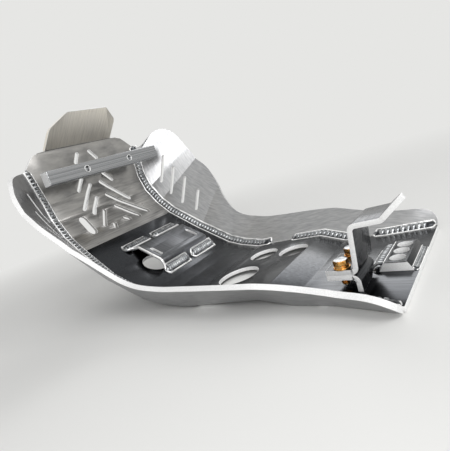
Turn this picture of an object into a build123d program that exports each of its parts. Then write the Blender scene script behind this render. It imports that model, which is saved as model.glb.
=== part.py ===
from build123d import *
import math
import os

# Motorcycle skid plate, millimetres. X runs to the rear wheel, Y to the bike's
# right, Z up, with the rear floor level. Stations are given as the distance
# ahead of the floor's rear edge.
os.makedirs("parts", exist_ok=True)

# sheet stock
floor_t = 5.0
wing_t = 6.0
bracket_t = 4.0
clamp_t = 5.0
rear_x = 237.5

# floor side profile: (ahead of rear edge, height of the inner face)
flap_tip = (424.0, 292.0)
flap_fold = (478.0, 250.0)
floor_rear = (0.0, 5.0)
top_corner = (476.5, 226.0)
fold_1 = (473.0, 171.0)
fold_2 = (466.0, 143.0)
fold_3 = (448.0, 114.0)
fold_4 = (425.0, 91.0)
fold_5 = (372.0, 52.0)
fold_6 = (313.0, 20.0)
fold_7 = (288.0, 13.0)
fold_8 = (254.0, 8.0)
fold_9 = (144.0, 14.0)
fold_10 = (108.0, 5.0)
waist = (60.0, 5.0)
bend_r = 9.0
flap_bend_r = 4.0

# half-widths of the floor at the same stations
top_corner_w = 106.0
fold_1_w = 99.0
fold_2_w = 99.0
fold_3_w = 100.0
fold_4_w = 100.0
fold_5_w = 104.0
fold_6_w = 100.5
fold_7_w = 98.5
fold_8_w = 95.6
fold_9_w = 91.0
fold_10_w = 86.5
waist_w = 88.0
rear_w = 100.0

# front edge outline above the wing: (half-width, height)
head_outline = [(91.0, 242.0), (85.0, 247.0), (75.0, 250.0), (63.5, 250.6)]
flap_outline = [(62.0, 272.0), (59.5, 277.0), (38.0, 291.0), (33.0, 293.0)]

# front clamp bar
bar_x_front = 438.0
bar_t = 18.0
bar_h = 22.0
bar_half = 107.0
bar_z = 204.5
bar_hole_y = 42.0
bar_edge_r = 2.5
screw_r = 4.0
screw_clear_r = 4.5
screw_head_r = 8.0
screw_head_h = 6.5
screw_socket_af = 5.0
screw_socket_depth = 3.5
screw_tip_recess = 3.0

# channel bracket on the front slope
channel_y0 = -41.0
channel_y1 = 62.0
channel_front = (396.5, 69.6)
channel_lead = (407.5, 68.7)
channel_top_front = (374.0, 71.5)
channel_top_rear = (330.5, 47.0)
channel_foot = (330.5, 25.0)
# slot row behind the middle of the channel's top
channel_slot_back = 2.75
channel_slot_offset = 41.0
channel_slot_w = 5.0
channel_slot_len = 20.0

# rear block with three bores
block_top_front = 31.0
block_top_rear = 9.5
block_foot_front = 37.0
block_foot_rear = 4.0
block_h = 9.5
block_half = 30.0
block_bore_r = 7.5
block_bore_ahead = 20.0
block_bore_pitch = 18.0

# rear clamp
clamp_y0 = -72.0
clamp_y1 = -26.0
pad_front = 73.0
leg_ahead = 43.0
lower_pad_z = 19.5
upper_pad_z = 24.5
leg_top_ahead = 39.0
flange_z = 68.5
flange_rear_ahead = 11.0
flange_rear_z = 70.5
lip_tip_ahead = -10.0
lip_tip_z = 88.0
lip_blunt = 5.0
foot_cut_w = 18.0
foot_cut_h = 12.0
clamp_bolt_ahead = 58.0
clamp_bolt_offset = 16.0
washer_r = 8.0
washer_t = 1.6
spring_washer_r = 7.2
spring_washer_t = 2.0
hex_af = 13.0
hex_h = 5.3
bolt_len = 20.0

# holes
vent_w = 5.5
wing_vent_w = 4.5
drain_big_r = 27.0
drain_small_r = 20.0
drain_1 = (213.0, -30.0)
drain_2 = (215.0, 41.0)
drain_3 = (165.0, 38.0)
oblong_w = 13.0
# round hole in the slope under the channel: (ahead, y) of its centre
slope_hole_r = 20.0
slope_hole = (354.0, -34.0)

# weld beads
bead_r = 7.0
outer_bead_r = 4.5
channel_bead_r = 8.5
# channel beads: how far they run past its near and far end, and the break in each row from its middle
lead_over = (9.0, 5.0)
lead_break = (-8.5, 0.5)
foot_over = (2.0, 8.0)
foot_break = (-2.5, 5.5)
# block beads past the ends of the block
block_bead_over = 1.0
block_bead_front_r = 10.0
bead_fullness = 0.75
bead_clear = 0.3
block_bead_rear_r = 3.2
gap_w = 4.5
front_bead_end = 233.0
middle_bead_start = 192.0
middle_bead_end = 80.0
rear_bead_start = 72.0
rear_bead_end = 3.0


def place(ahead, y, z):
    return Vector(rear_x - ahead, y, z)


def sheet_profile(points, t):
    """Polygon of a folded sheet: the given line and its mitred copy t to the left."""
    normals = []
    for (x0, z0), (x1, z1) in zip(points, points[1:]):
        run = math.hypot(x1 - x0, z1 - z0)
        normals.append((-(z1 - z0) / run, (x1 - x0) / run))
    other = []
    for i, (x, z) in enumerate(points):
        a = normals[max(i - 1, 0)]
        b = normals[min(i, len(normals) - 1)]
        k = t / (1 + a[0] * b[0] + a[1] * b[1])
        other.append((x + (a[0] + b[0]) * k, z + (a[1] + b[1]) * k))
    return list(points) + other[::-1]


def flat(points):
    return [(rear_x - ahead, z) for ahead, z in points]


# outlines the floor is trimmed to
front_edge = [
    (fold_4_w, fold_4[1]),
    (fold_3_w, fold_3[1]),
    (fold_2_w, fold_2[1]),
    (fold_1_w, fold_1[1]),
    (top_corner_w, top_corner[1]),
] + head_outline + flap_outline
front_shape = front_edge + [(-y, z) for y, z in reversed(front_edge)]
plan_edge = [
    (-520.0, fold_4_w),
    (-fold_4[0], fold_4_w),
    (-fold_5[0], fold_5_w),
    (-fold_6[0], fold_6_w),
    (-fold_7[0], fold_7_w),
    (-fold_8[0], fold_8_w),
    (-fold_9[0], fold_9_w),
    (-fold_10[0], fold_10_w),
    (-waist[0], waist_w),
    (0.0, rear_w),
]
plan_edge = [(rear_x + x, y) for x, y in plan_edge]
plan_shape = plan_edge + [(x, -y) for x, y in reversed(plan_edge)]
front_keep = extrude(
    Plane.YZ.offset(rear_x - 520.0) * make_face(Polyline(*front_shape, close=True)),
    amount=130.0,
)
plan_keep = extrude(make_face(Polyline(*plan_shape, close=True)), amount=fold_4[1])
trim = front_keep + plan_keep

floor_line = [
    flap_tip, flap_fold, fold_1, fold_2, fold_3, fold_4, fold_5, fold_6,
    fold_7, fold_8, fold_9, fold_10, floor_rear,
]

# vent slots in the front slope: (y, z) of both end centres
head_vents = [((12.0, 236.0), (20.5, 223.0)), ((-12.0, 236.0), (-20.5, 223.0))]
left_vents = [
    ((-23.0, 195.0), (-36.0, 178.0)),
    ((-12.0, 182.0), (-43.0, 147.0)),
    ((-12.0, 158.0), (-32.0, 136.0)),
    ((-13.0, 134.0), (-31.0, 113.0)),
    ((-14.5, 109.5), (-18.5, 105.0)),
]
right_vents = [
    ((21.0, 195.0), (33.0, 180.0)),
    ((9.0, 182.0), (47.0, 140.0)),
    ((9.0, 158.0), (60.0, 108.0)),
    ((12.0, 135.0), (37.0, 107.0)),
    ((10.5, 112.0), (15.5, 107.5)),
]
oblong_top = (-57.0, 131.0)
oblong_foot = (-56.0, 113.0)


def slot_cut(a, b, width, along, reach):
    """Round-ended slot through both end centres, cut along the given direction."""
    run = b - a
    across = along - run * (along.dot(run) / run.dot(run))
    base = Plane(origin=(a + b) * 0.5, x_dir=run, z_dir=across)
    return extrude(base * SlotCenterToCenter(run.length, width), amount=reach, both=True)


def front_slot(pair, width):
    (y0, z0), (y1, z1) = pair
    a = place(460.0, y0, z0)
    b = place(460.0, y1, z1)
    return slot_cut(a, b, width, Vector(1, 0, 0), 60.0)


front_cuts = []
for slot_ends in head_vents + left_vents + right_vents:
    front_cuts.append(front_slot(slot_ends, vent_w))
front_cuts.append(front_slot((oblong_top, oblong_foot), oblong_w))

# the joint stands open over two short stretches on both sides
joint_gaps = []
for side in (1, -1):
    for ahead_a, ahead_b, w in (
        (front_bead_end, middle_bead_start, 95.0),
        (middle_bead_end, rear_bead_start, 87.6),
    ):
        length = ahead_a - ahead_b
        middle = rear_x - (ahead_a + ahead_b) / 2
        joint_gaps.append(Pos(middle, side * (w + 8.0 - gap_w), 10.0) * Box(length, 16.0, 30.0))

# plane of the folded slope at the hole under the channel
slope_share = (fold_5[0] - slope_hole[0]) / (fold_5[0] - fold_6[0])
slope_plane = Plane(
    origin=place(slope_hole[0], slope_hole[1], fold_5[1] + (fold_6[1] - fold_5[1]) * slope_share),
    x_dir=(0, 1, 0),
    z_dir=(fold_5[1] - fold_6[1], 0, fold_5[0] - fold_6[0]),
)

# 1 floor, one folded sheet from the rear edge to the flap
with BuildPart() as belly_plate:
    with BuildSketch(Plane.XZ) as floor_side:
        with BuildLine():
            Polyline(*sheet_profile(flat(floor_line), -floor_t), close=True)
        make_face()
        bends = []
        for point in flat(floor_line)[2:-1]:
            for v in floor_side.vertices():
                if math.hypot(v.X - point[0], v.Y - point[1]) < 7.0:
                    bends.append(v)
        fillet(bends, bend_r)
        fold_at = flat([flap_fold])[0]
        near = [
            v for v in floor_side.vertices()
            if math.hypot(v.X - fold_at[0], v.Y - fold_at[1]) < 0.1
        ]
        fillet(near, flap_bend_r)
        far = [
            v for v in floor_side.vertices()
            if 4.9 < math.hypot(v.X - fold_at[0], v.Y - fold_at[1]) < 6.5
        ]
        fillet(far, flap_bend_r + floor_t)
    extrude(amount=120.0, both=True)
    add(trim, mode=Mode.INTERSECT)
    add(front_cuts, mode=Mode.SUBTRACT)
    add(joint_gaps, mode=Mode.SUBTRACT)
    with BuildSketch(Plane.XY):
        with Locations((rear_x - drain_1[0], drain_1[1])):
            Circle(drain_big_r)
        with Locations((rear_x - drain_2[0], drain_2[1]), (rear_x - drain_3[0], drain_3[1])):
            Circle(drain_small_r)
    extrude(amount=40.0, both=True, mode=Mode.SUBTRACT)
    with BuildSketch(slope_plane):
        Circle(slope_hole_r)
    extrude(amount=15.0, both=True, mode=Mode.SUBTRACT)
    with BuildSketch(Plane.YZ.offset(rear_x - 500.0)):
        with Locations((bar_hole_y, bar_z), (-bar_hole_y, bar_z)):
            Circle(screw_clear_r)
    extrude(amount=50.0, mode=Mode.SUBTRACT)
belly_plate.part.label = "belly_plate"
export_step(belly_plate.part, "parts/belly_plate.step")

# wings: feet on the floor's edge, and the cut top edge between the fold tops
wing_feet = [
    (top_corner[0], top_corner_w, top_corner[1]),
    (fold_1[0], fold_1_w, fold_1[1]),
    (fold_2[0], fold_2_w, fold_2[1]),
    (fold_3[0], fold_3_w, fold_3[1]),
    (fold_4[0], fold_4_w, fold_4[1]),
    (fold_5[0], fold_5_w, fold_5[1]),
    (fold_6[0], fold_6_w, fold_6[1]),
    (fold_7[0], fold_7_w, fold_7[1]),
    (fold_8[0], fold_8_w, fold_8[1]),
    (fold_9[0], fold_9_w, fold_9[1]),
    (fold_10[0], fold_10_w, fold_10[1]),
    (waist[0], waist_w, waist[1]),
    (0.0, rear_w, 5.0),
]
tall_lobe = [
    (476.4, 106.6, 227.0), (462.0, 112.0, 223.0), (449.0, 127.0, 235.0), (439.0, 137.5, 241.5),
    (428.0, 148.5, 241.0), (417.0, 157.0, 232.0), (409.0, 162.0, 217.0),
]
low_lobe = [
    (476.4, 106.6, 226.6), (455.0, 124.0, 223.0), (430.0, 144.5, 219.0), (416.0, 155.5, 214.0),
    (408.0, 161.5, 207.0),
]
edge_to_rear = [
    [(401.0, 167.0, 195.0)],
    [(395.0, 168.8, 182.0), (390.0, 169.0, 170.0)],
    [(375.0, 168.6, 155.0)],
    [(364.0, 165.5, 141.0), (354.0, 160.0, 126.0), (346.0, 155.0, 112.0)],
    [(335.0, 145.0, 93.0), (325.0, 139.0, 79.0), (313.0, 134.5, 66.0)],
    [(300.0, 132.2, 57.0), (286.0, 131.2, 51.5), (270.0, 130.5, 48.0)],
    [(255.0, 128.6, 45.5), (240.0, 127.4, 44.0)],
    [(186.0, 126.0, 43.0), (160.0, 125.0, 42.5), (127.0, 121.5, 41.0)],
    [(113.0, 118.0, 38.5), (95.0, 114.5, 35.0)],
    [(80.0, 112.4, 32.0), (68.0, 112.0, 30.0), (55.0, 112.2, 28.0)],
    [(35.0, 113.2, 25.4), (20.0, 114.8, 23.6), (9.0, 115.2, 20.0), (2.5, 111.0, 14.0), (0.2, 105.0, 8.5)],
]
# longest straight piece of the cut top edge
edge_piece = 7.0

# vent slots in the front of each wing: end centres (ahead, y, z), cut square to the sheet
wing_vents = [
    ((436.0, 134.0, 192.0), (445.0, 117.0, 149.0)),
    ((425.0, 139.0, 166.0), (430.0, 117.0, 123.0)),
    ((407.0, 142.0, 142.0), (408.0, 115.0, 102.0)),
    ((382.0, 138.0, 113.0), (383.0, 118.0, 83.0)),
]
wing_vent_axis = (-0.5, 0.76, -0.4)


def wing_lines(lobe, side):
    """Feet, cut-edge chains and thickness steps of one wing."""
    feet = [place(a, side * w, z) for a, w, z in wing_feet]
    chains = [[place(a, side * w, z) for a, w, z in lobe]]
    for chain in edge_to_rear:
        chains.append([chains[-1][-1]] + [place(a, side * w, z) for a, w, z in chain])
    normals = []
    for i, chain in enumerate(chains):
        along = (feet[i + 1] - feet[i]) + (chain[-1] - chain[0])
        up = (chain[0] - feet[i]) + (chain[-1] - feet[i + 1])
        normal = along.cross(up).normalized()
        normals.append(normal if normal.Y * side > 0 else normal * -1)
    steps = [normals[0] * wing_t]
    for a, b in zip(normals, normals[1:]):
        steps.append((a + b) * (wing_t / (1 + a.dot(b))))
    steps.append(normals[-1] * wing_t)
    return feet, chains, steps


def edge_points(chain):
    """Points of the cut edge between two folds, evenly spaced along a smooth curve."""
    if len(chain) == 2:
        return list(chain)
    curve = Edge.make_spline(chain)
    count = math.ceil(curve.length / edge_piece)
    return [curve.position_at(k / count) for k in range(count + 1)]


def wing_sheet(lobe, side):
    """Folded wing: a closed solid from its feet, its cut edge and the sheet thickness."""
    feet, chains, steps = wing_lines(lobe, side)
    lines = []
    for i, chain in enumerate(chains):
        rail = edge_points(chain)
        last = len(rail) - 1
        for k, top in enumerate(rail):
            if k == 0 and i > 0:
                continue
            t = k / last
            foot = feet[i] * (1 - t) + feet[i + 1] * t
            step = steps[i] * (1 - t) + steps[i + 1] * t
            lines.append((foot, top, foot + step, top + step))
    faces = []
    for a, b in zip(lines, lines[1:]):
        for m, n in ((0, 1), (2, 3), (0, 2), (1, 3)):
            faces.append(Face.make_surface_from_curves(
                Edge.make_line(a[m], b[m]), Edge.make_line(a[n], b[n])))
    for foot, top, outer_foot, outer_top in (lines[0], lines[-1]):
        faces.append(Face.make_surface_from_curves(
            Edge.make_line(foot, top), Edge.make_line(outer_foot, outer_top)))
    return Solid(Shell(Face.sew_faces(faces)[0]))


def wing_cuts(side):
    cuts = []
    axis = Vector(wing_vent_axis[0], side * wing_vent_axis[1], wing_vent_axis[2])
    for (a0, y0, z0), (a1, y1, z1) in wing_vents:
        a = place(a0, side * y0, z0)
        b = place(a1, side * y1, z1)
        cuts.append(slot_cut(a, b, wing_vent_w, axis, 20.0))
    return cuts


right_sheet = wing_sheet(tall_lobe, 1)
left_sheet = wing_sheet(low_lobe, 1).mirror(Plane.XZ)
right_slots = wing_cuts(1)
left_slots = wing_cuts(-1)

# 2 right wing
with BuildPart() as right_wing:
    add(right_sheet)
    add(right_slots, mode=Mode.SUBTRACT)
right_wing.part.label = "right_wing"
export_step(right_wing.part, "parts/right_wing.step")

# 3 left wing
with BuildPart() as left_wing:
    add(left_sheet)
    add(left_slots, mode=Mode.SUBTRACT)
left_wing.part.label = "left_wing"
export_step(left_wing.part, "parts/left_wing.step")

# 4 front clamp bar, held off the floor by its two screws
with BuildPart() as front_bar:
    with Locations((rear_x - bar_x_front + bar_t / 2, 0.0, bar_z)):
        Box(bar_t, 2 * bar_half, bar_h)
    fillet(front_bar.edges().filter_by(Axis.Y), bar_edge_r)
    fillet(front_bar.edges().filter_by(Axis.X), 2.0)
    with BuildSketch(Plane.YZ.offset(rear_x - bar_x_front)):
        with Locations((bar_hole_y, bar_z), (-bar_hole_y, bar_z)):
            Circle(screw_r)
    extrude(amount=bar_t, mode=Mode.SUBTRACT)
    mouths = [
        e for e in front_bar.edges().filter_by(GeomType.CIRCLE)
        if abs(e.center().X - (rear_x - bar_x_front + bar_t)) < 0.01 and e.radius > 3.9
    ]
    chamfer(mouths, 1.4)
front_bar.part.label = "front_bar"
export_step(front_bar.part, "parts/front_bar.step")

# 5 screws of the front bar
seat_x = 0.0
plate_run = (fold_1[0] - flap_fold[0]) / (fold_1[1] - flap_fold[1])
plate_ahead = flap_fold[0] + plate_run * (bar_z - flap_fold[1])
seat_x = rear_x - plate_ahead - floor_t
screw_tip_x = rear_x - bar_x_front + bar_t - screw_tip_recess
with BuildPart() as front_bar_screws:
    with BuildSketch(Plane.YZ.offset(seat_x - screw_head_h)):
        with Locations((bar_hole_y, bar_z), (-bar_hole_y, bar_z)):
            Circle(screw_head_r)
    extrude(amount=screw_head_h - 0.5)
    fillet(front_bar_screws.edges().group_by(Axis.X)[0], 2.5)
    with BuildSketch(Plane.YZ.offset(seat_x - 1.0)):
        with Locations((bar_hole_y, bar_z), (-bar_hole_y, bar_z)):
            Circle(screw_r)
    extrude(amount=screw_tip_x - seat_x + 1.0)
    chamfer(front_bar_screws.edges().group_by(Axis.X)[-1], 0.8)
    with BuildSketch(Plane.YZ.offset(seat_x - screw_head_h)):
        with Locations((bar_hole_y, bar_z), (-bar_hole_y, bar_z)):
            RegularPolygon(screw_socket_af / 2, 6, major_radius=False)
    extrude(amount=screw_socket_depth, mode=Mode.SUBTRACT)
    add(belly_plate.part, mode=Mode.SUBTRACT)
front_bar_screws.part.label = "front_bar_screws"
export_step(front_bar_screws.part, "parts/front_bar_screws.step")

def bent_face(points, above, below, inner_r):
    """Side view of a bent sheet reaching above and below a line, its bends rounded."""
    count = len(points)
    left = sheet_profile(points, above)[count:][::-1]
    right = sheet_profile(points, -below)[count:][::-1]
    side_view = Sketch() + make_face(Polyline(*(right + left[::-1]), close=True))
    for i in range(1, count - 1):
        (x0, z0), (x1, z1), (x2, z2) = points[i - 1:i + 2]
        turn = (x1 - x0) * (z2 - z1) - (z1 - z0) * (x2 - x1)
        for edge_points, inside in ((left, turn > 0), (right, turn < 0)):
            x, z = edge_points[i]
            corner = min(side_view.vertices(), key=lambda v: math.hypot(v.X - x, v.Y - z))
            side_view = fillet(corner, inner_r if inside else inner_r + above + below)
    return side_view


# 6 channel bracket across the front slope, its feet cut to the slope
channel_line = flat([channel_lead, channel_top_front, channel_top_rear, channel_foot])
channel_side = Plane.XZ.offset(-channel_y0) * bent_face(channel_line, 0.0, bracket_t, 3.0)
mid_y = (channel_y0 + channel_y1) / 2
slot_x = rear_x - (channel_top_front[0] + channel_top_rear[0]) / 2 + channel_slot_back
with BuildPart() as tunnel_bracket:
    extrude(channel_side, amount=-(channel_y1 - channel_y0))
    with BuildSketch(Plane.XY.offset(30.0)):
        with Locations(
            (slot_x, mid_y - channel_slot_offset),
            (slot_x, mid_y + channel_slot_offset),
        ):
            SlotOverall(channel_slot_len, channel_slot_w)
    extrude(amount=60.0, mode=Mode.SUBTRACT)
    add(belly_plate.part, mode=Mode.SUBTRACT)
tunnel_bracket.part = Part() + max(tunnel_bracket.part.solids(), key=lambda s: s.volume)
tunnel_bracket.part.label = "tunnel_bracket"
export_step(tunnel_bracket.part, "parts/tunnel_bracket.step")

# 7 block welded across the rear of the floor, three round sockets in it
floor_z = floor_rear[1]
with BuildPart() as rear_block:
    with BuildSketch(Plane.XZ):
        with BuildLine():
            Polyline(
                (rear_x - block_foot_front, floor_z),
                (rear_x - block_top_front, floor_z + block_h),
                (rear_x - block_top_rear, floor_z + block_h),
                (rear_x - block_foot_rear, floor_z),
                close=True,
            )
        make_face()
    extrude(amount=block_half, both=True)
    fillet(rear_block.edges().group_by(Axis.Z)[-1], 0.8)
    with BuildSketch(Plane.XY.offset(floor_z)):
        with Locations((rear_x - block_bore_ahead, 0.0)):
            with GridLocations(1.0, block_bore_pitch, 1, 3):
                Circle(block_bore_r)
    extrude(amount=block_h, mode=Mode.SUBTRACT)
rear_block.part.label = "rear_block"
export_step(rear_block.part, "parts/rear_block.step")


lower_line = flat([(pad_front, lower_pad_z), (leg_ahead, lower_pad_z), (leg_ahead, floor_z)])
upper_line = flat([
    (pad_front, upper_pad_z), (leg_ahead, upper_pad_z), (leg_top_ahead, flange_z),
    (flange_rear_ahead, flange_rear_z), (lip_tip_ahead, lip_tip_z),
])
lower_side = Plane.XZ.offset(-clamp_y0) * bent_face(lower_line, clamp_t / 2, clamp_t / 2, 3.0)
upper_side = Plane.XZ.offset(-clamp_y0) * bent_face(upper_line, clamp_t / 2, clamp_t / 2, 3.0)
clamp_w = clamp_y1 - clamp_y0
clamp_mid_y = (clamp_y0 + clamp_y1) / 2
bolt_x = rear_x - clamp_bolt_ahead
bolt_spots = [(bolt_x, clamp_mid_y - clamp_bolt_offset), (bolt_x, clamp_mid_y + clamp_bolt_offset)]

# 8 lower clamp bracket
with BuildPart() as lower_clamp:
    extrude(lower_side, amount=-clamp_w)
    with BuildSketch(Plane.YZ.offset(rear_x - leg_ahead - clamp_t)):
        with BuildLine():
            Polyline(
                (clamp_y1 + 1.0, floor_z - 1.0),
                (clamp_y1 + 1.0, floor_z + foot_cut_h),
                (clamp_y1 - foot_cut_w, floor_z - 1.0),
                close=True,
            )
        make_face()
    extrude(amount=2 * clamp_t, mode=Mode.SUBTRACT)
    with BuildSketch(Plane.XY.offset(10.0)):
        with Locations(*bolt_spots):
            Circle(screw_r)
    extrude(amount=20.0, mode=Mode.SUBTRACT)
lower_clamp.part.label = "lower_clamp"
export_step(lower_clamp.part, "parts/lower_clamp.step")

# 9 upper clamp bracket with its tapering lip
with BuildPart() as upper_clamp:
    extrude(upper_side, amount=-clamp_w)
    with BuildSketch(Plane.XY.offset(60.0)):
        with BuildLine():
            Polyline(
                (rear_x - flange_rear_ahead + 1.0, clamp_y1),
                (rear_x - lip_tip_ahead + 20.0, clamp_y1),
                (rear_x - lip_tip_ahead + 20.0, clamp_y0 + lip_blunt),
                (rear_x - lip_tip_ahead, clamp_y0 + lip_blunt),
                close=True,
            )
        make_face()
    extrude(amount=60.0, mode=Mode.SUBTRACT)
    with BuildSketch(Plane.XY.offset(10.0)):
        with Locations(*bolt_spots):
            Circle(screw_clear_r)
    extrude(amount=20.0, mode=Mode.SUBTRACT)
upper_clamp.part.label = "upper_clamp"
export_step(upper_clamp.part, "parts/upper_clamp.step")

# 10 to 12 clamp bolts, plain washers, spring washers
pad_top = upper_pad_z + clamp_t / 2
head_seat = pad_top + washer_t + spring_washer_t
hexagon = extrude(RegularPolygon(hex_af / 2, 6, major_radius=False), amount=hex_h)
head_disc = Pos(0, 0, hex_h / 2) * Cylinder(hex_af / 2 + 0.9, hex_h)
head_disc = chamfer(head_disc.edges().group_by(Axis.Z)[-1], 0.9)
hex_head = hexagon & head_disc
with BuildPart() as clamp_screws:
    for spot_x, spot_y in bolt_spots:
        with Locations((spot_x, spot_y, head_seat)):
            add(hex_head)
        with BuildSketch(Plane.XY.offset(head_seat - bolt_len)):
            with Locations((spot_x, spot_y)):
                Circle(screw_r)
        extrude(amount=bolt_len)
    chamfer(clamp_screws.edges().group_by(Axis.Z)[0], 1.0)
clamp_screws.part.label = "clamp_screws"
export_step(clamp_screws.part, "parts/clamp_screws.step")

with BuildPart() as clamp_washers:
    with BuildSketch(Plane.XY.offset(pad_top)):
        with Locations(*bolt_spots):
            Circle(washer_r)
            Circle(4.2, mode=Mode.SUBTRACT)
    extrude(amount=washer_t)
clamp_washers.part.label = "clamp_washers"
export_step(clamp_washers.part, "parts/clamp_washers.step")

with BuildPart() as clamp_spring_washers:
    with BuildSketch(Plane.XY.offset(pad_top + washer_t)):
        with Locations(*bolt_spots):
            Circle(spring_washer_r)
            Circle(4.1, mode=Mode.SUBTRACT)
            with Locations((-5.5, 0.0)):
                Rectangle(5.0, 1.2, rotation=20.0, mode=Mode.SUBTRACT)
    extrude(amount=spring_washer_t)
clamp_spring_washers.part.label = "clamp_spring_washers"
export_step(clamp_spring_washers.part, "parts/clamp_spring_washers.step")


def weld_strip(sections, fullness):
    """Closed weld bead lying in a corner: each section is (corner, way, other way, radius)."""
    arcs = []
    legs = []
    for corner, way, other_way, r in sections:
        a = corner + way * r
        b = corner + other_way * r
        crown = corner + (way + other_way).normalized() * (r * fullness)
        arcs.append(Edge.make_three_point_arc(a, crown, b))
        legs.append((Edge.make_line(corner, a), Edge.make_line(b, corner)))
    faces = []
    for i in range(len(arcs) - 1):
        faces.append(Face.make_surface_from_curves(arcs[i], arcs[i + 1]))
        faces.append(Face.make_surface_from_curves(legs[i][0], legs[i + 1][0]))
        faces.append(Face.make_surface_from_curves(legs[i][1], legs[i + 1][1]))
    for i in (0, -1):
        faces.append(Face(Wire([legs[i][0], arcs[i], legs[i][1]])))
    return Solid(Shell(Face.sew_faces(faces)[0]))


def bead_stops(start, end, r, between):
    """Places along a bead with the share of its full radius, thinner at both ends."""
    stops = [(start, 0.3), (start + 0.15 * r, 0.55), (start + 0.45 * r, 0.85), (start + r, 1.0)]
    stops += [(spot, 1.0) for spot in between if start + r + 1.0 < spot < end - r - 1.0]
    stops += [(end - r, 1.0), (end - 0.45 * r, 0.85), (end - 0.15 * r, 0.55), (end, 0.3)]
    return stops


def part_way(chain, t):
    """Point at a share of the chain's length."""
    lengths = [(b - a).length for a, b in zip(chain, chain[1:])]
    left = t * sum(lengths)
    for (a, b), length in zip(zip(chain, chain[1:]), lengths):
        if left <= length:
            return a + (b - a) * (left / length)
        left -= length
    return chain[-1]


def joint_bead(span, lobe, side, r, inner):
    """Bead along the floor-to-wing joint between two distances ahead of the rear edge."""
    feet, chains, steps = wing_lines(lobe, side)
    marks = [0.0]
    for a, b in zip(feet, feet[1:]):
        marks.append(marks[-1] + (b - a).length)

    def spot_of(ahead):
        x = rear_x - ahead
        for i, (a, b) in enumerate(zip(feet, feet[1:])):
            if a.X <= x <= b.X:
                return marks[i] + (marks[i + 1] - marks[i]) * (x - a.X) / (b.X - a.X)
        return marks[-1]

    between = []
    for a, b in zip(marks, marks[1:]):
        count = math.ceil((b - a) / 20.0)
        between += [a + (b - a) * k / count for k in range(count)]
    sections = []
    for spot, share in bead_stops(spot_of(span[0]), spot_of(span[1]), r, between):
        i = max(k for k in range(len(marks) - 1) if marks[k] <= spot + 0.001)
        t = (spot - marks[i]) / (marks[i + 1] - marks[i])
        corner = feet[i] * (1 - t) + feet[i + 1] * t
        if inner:
            way = Vector(0, -side, 0)
            other_way = (part_way(chains[i], t) - corner).normalized()
        else:
            way = Vector(0, 0, -1)
            other_way = (steps[i] * (1 - t) + steps[i + 1] * t).normalized()
        lifted = corner + (way + other_way) * bead_clear
        sections.append((lifted, way, other_way, r * share - bead_clear))
    return weld_strip(sections, bead_fullness if inner else 1.0)


def fitted(bead, sheet):
    """Bead cut back where a rounded fold of the wing comes forward."""
    left_over = bead - sheet
    return max(left_over.solids(), key=lambda s: s.volume)


front_span = (top_corner[0], front_bead_end)
middle_span = (middle_bead_start, middle_bead_end)
rear_span = (rear_bead_start, rear_bead_end)
right_front_bead = fitted(joint_bead(front_span, tall_lobe, 1, bead_r, True), right_sheet)
right_middle_bead = joint_bead(middle_span, tall_lobe, 1, bead_r, True)
right_rear_bead = joint_bead(rear_span, tall_lobe, 1, bead_r, True)
right_outer_bead = joint_bead(middle_span, tall_lobe, 1, outer_bead_r, False)
left_front_bead = fitted(joint_bead(front_span, low_lobe, -1, bead_r, True), left_sheet)
left_middle_bead = joint_bead(middle_span, low_lobe, -1, bead_r, True)
left_rear_bead = joint_bead(rear_span, low_lobe, -1, bead_r, True)
left_outer_bead = joint_bead(middle_span, low_lobe, -1, outer_bead_r, False)

# 13 to 20 weld beads along both sides
with BuildPart() as right_weld_front:
    add(right_front_bead)
right_weld_front.part.label = "right_weld_front"
export_step(right_weld_front.part, "parts/right_weld_front.step")

with BuildPart() as right_weld_middle:
    add(right_middle_bead)
right_weld_middle.part.label = "right_weld_middle"
export_step(right_weld_middle.part, "parts/right_weld_middle.step")

with BuildPart() as right_weld_rear:
    add(right_rear_bead)
right_weld_rear.part.label = "right_weld_rear"
export_step(right_weld_rear.part, "parts/right_weld_rear.step")

with BuildPart() as right_weld_outer:
    add(right_outer_bead)
right_weld_outer.part.label = "right_weld_outer"
export_step(right_weld_outer.part, "parts/right_weld_outer.step")

with BuildPart() as left_weld_front:
    add(left_front_bead)
left_weld_front.part.label = "left_weld_front"
export_step(left_weld_front.part, "parts/left_weld_front.step")

with BuildPart() as left_weld_middle:
    add(left_middle_bead)
left_weld_middle.part.label = "left_weld_middle"
export_step(left_weld_middle.part, "parts/left_weld_middle.step")

with BuildPart() as left_weld_rear:
    add(left_rear_bead)
left_weld_rear.part.label = "left_weld_rear"
export_step(left_weld_rear.part, "parts/left_weld_rear.step")

with BuildPart() as left_weld_outer:
    add(left_outer_bead)
left_weld_outer.part.label = "left_weld_outer"
export_step(left_weld_outer.part, "parts/left_weld_outer.step")


def cross_bead(ahead, z, y0, y1, r, way, other_way):
    """Straight bead across the plate in the corner between two directions."""
    sections = []
    for y, share in bead_stops(y0, y1, r, []):
        sections.append((place(ahead, y, z), way.normalized(), other_way.normalized(), r * share))
    return weld_strip(sections, bead_fullness)


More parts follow.
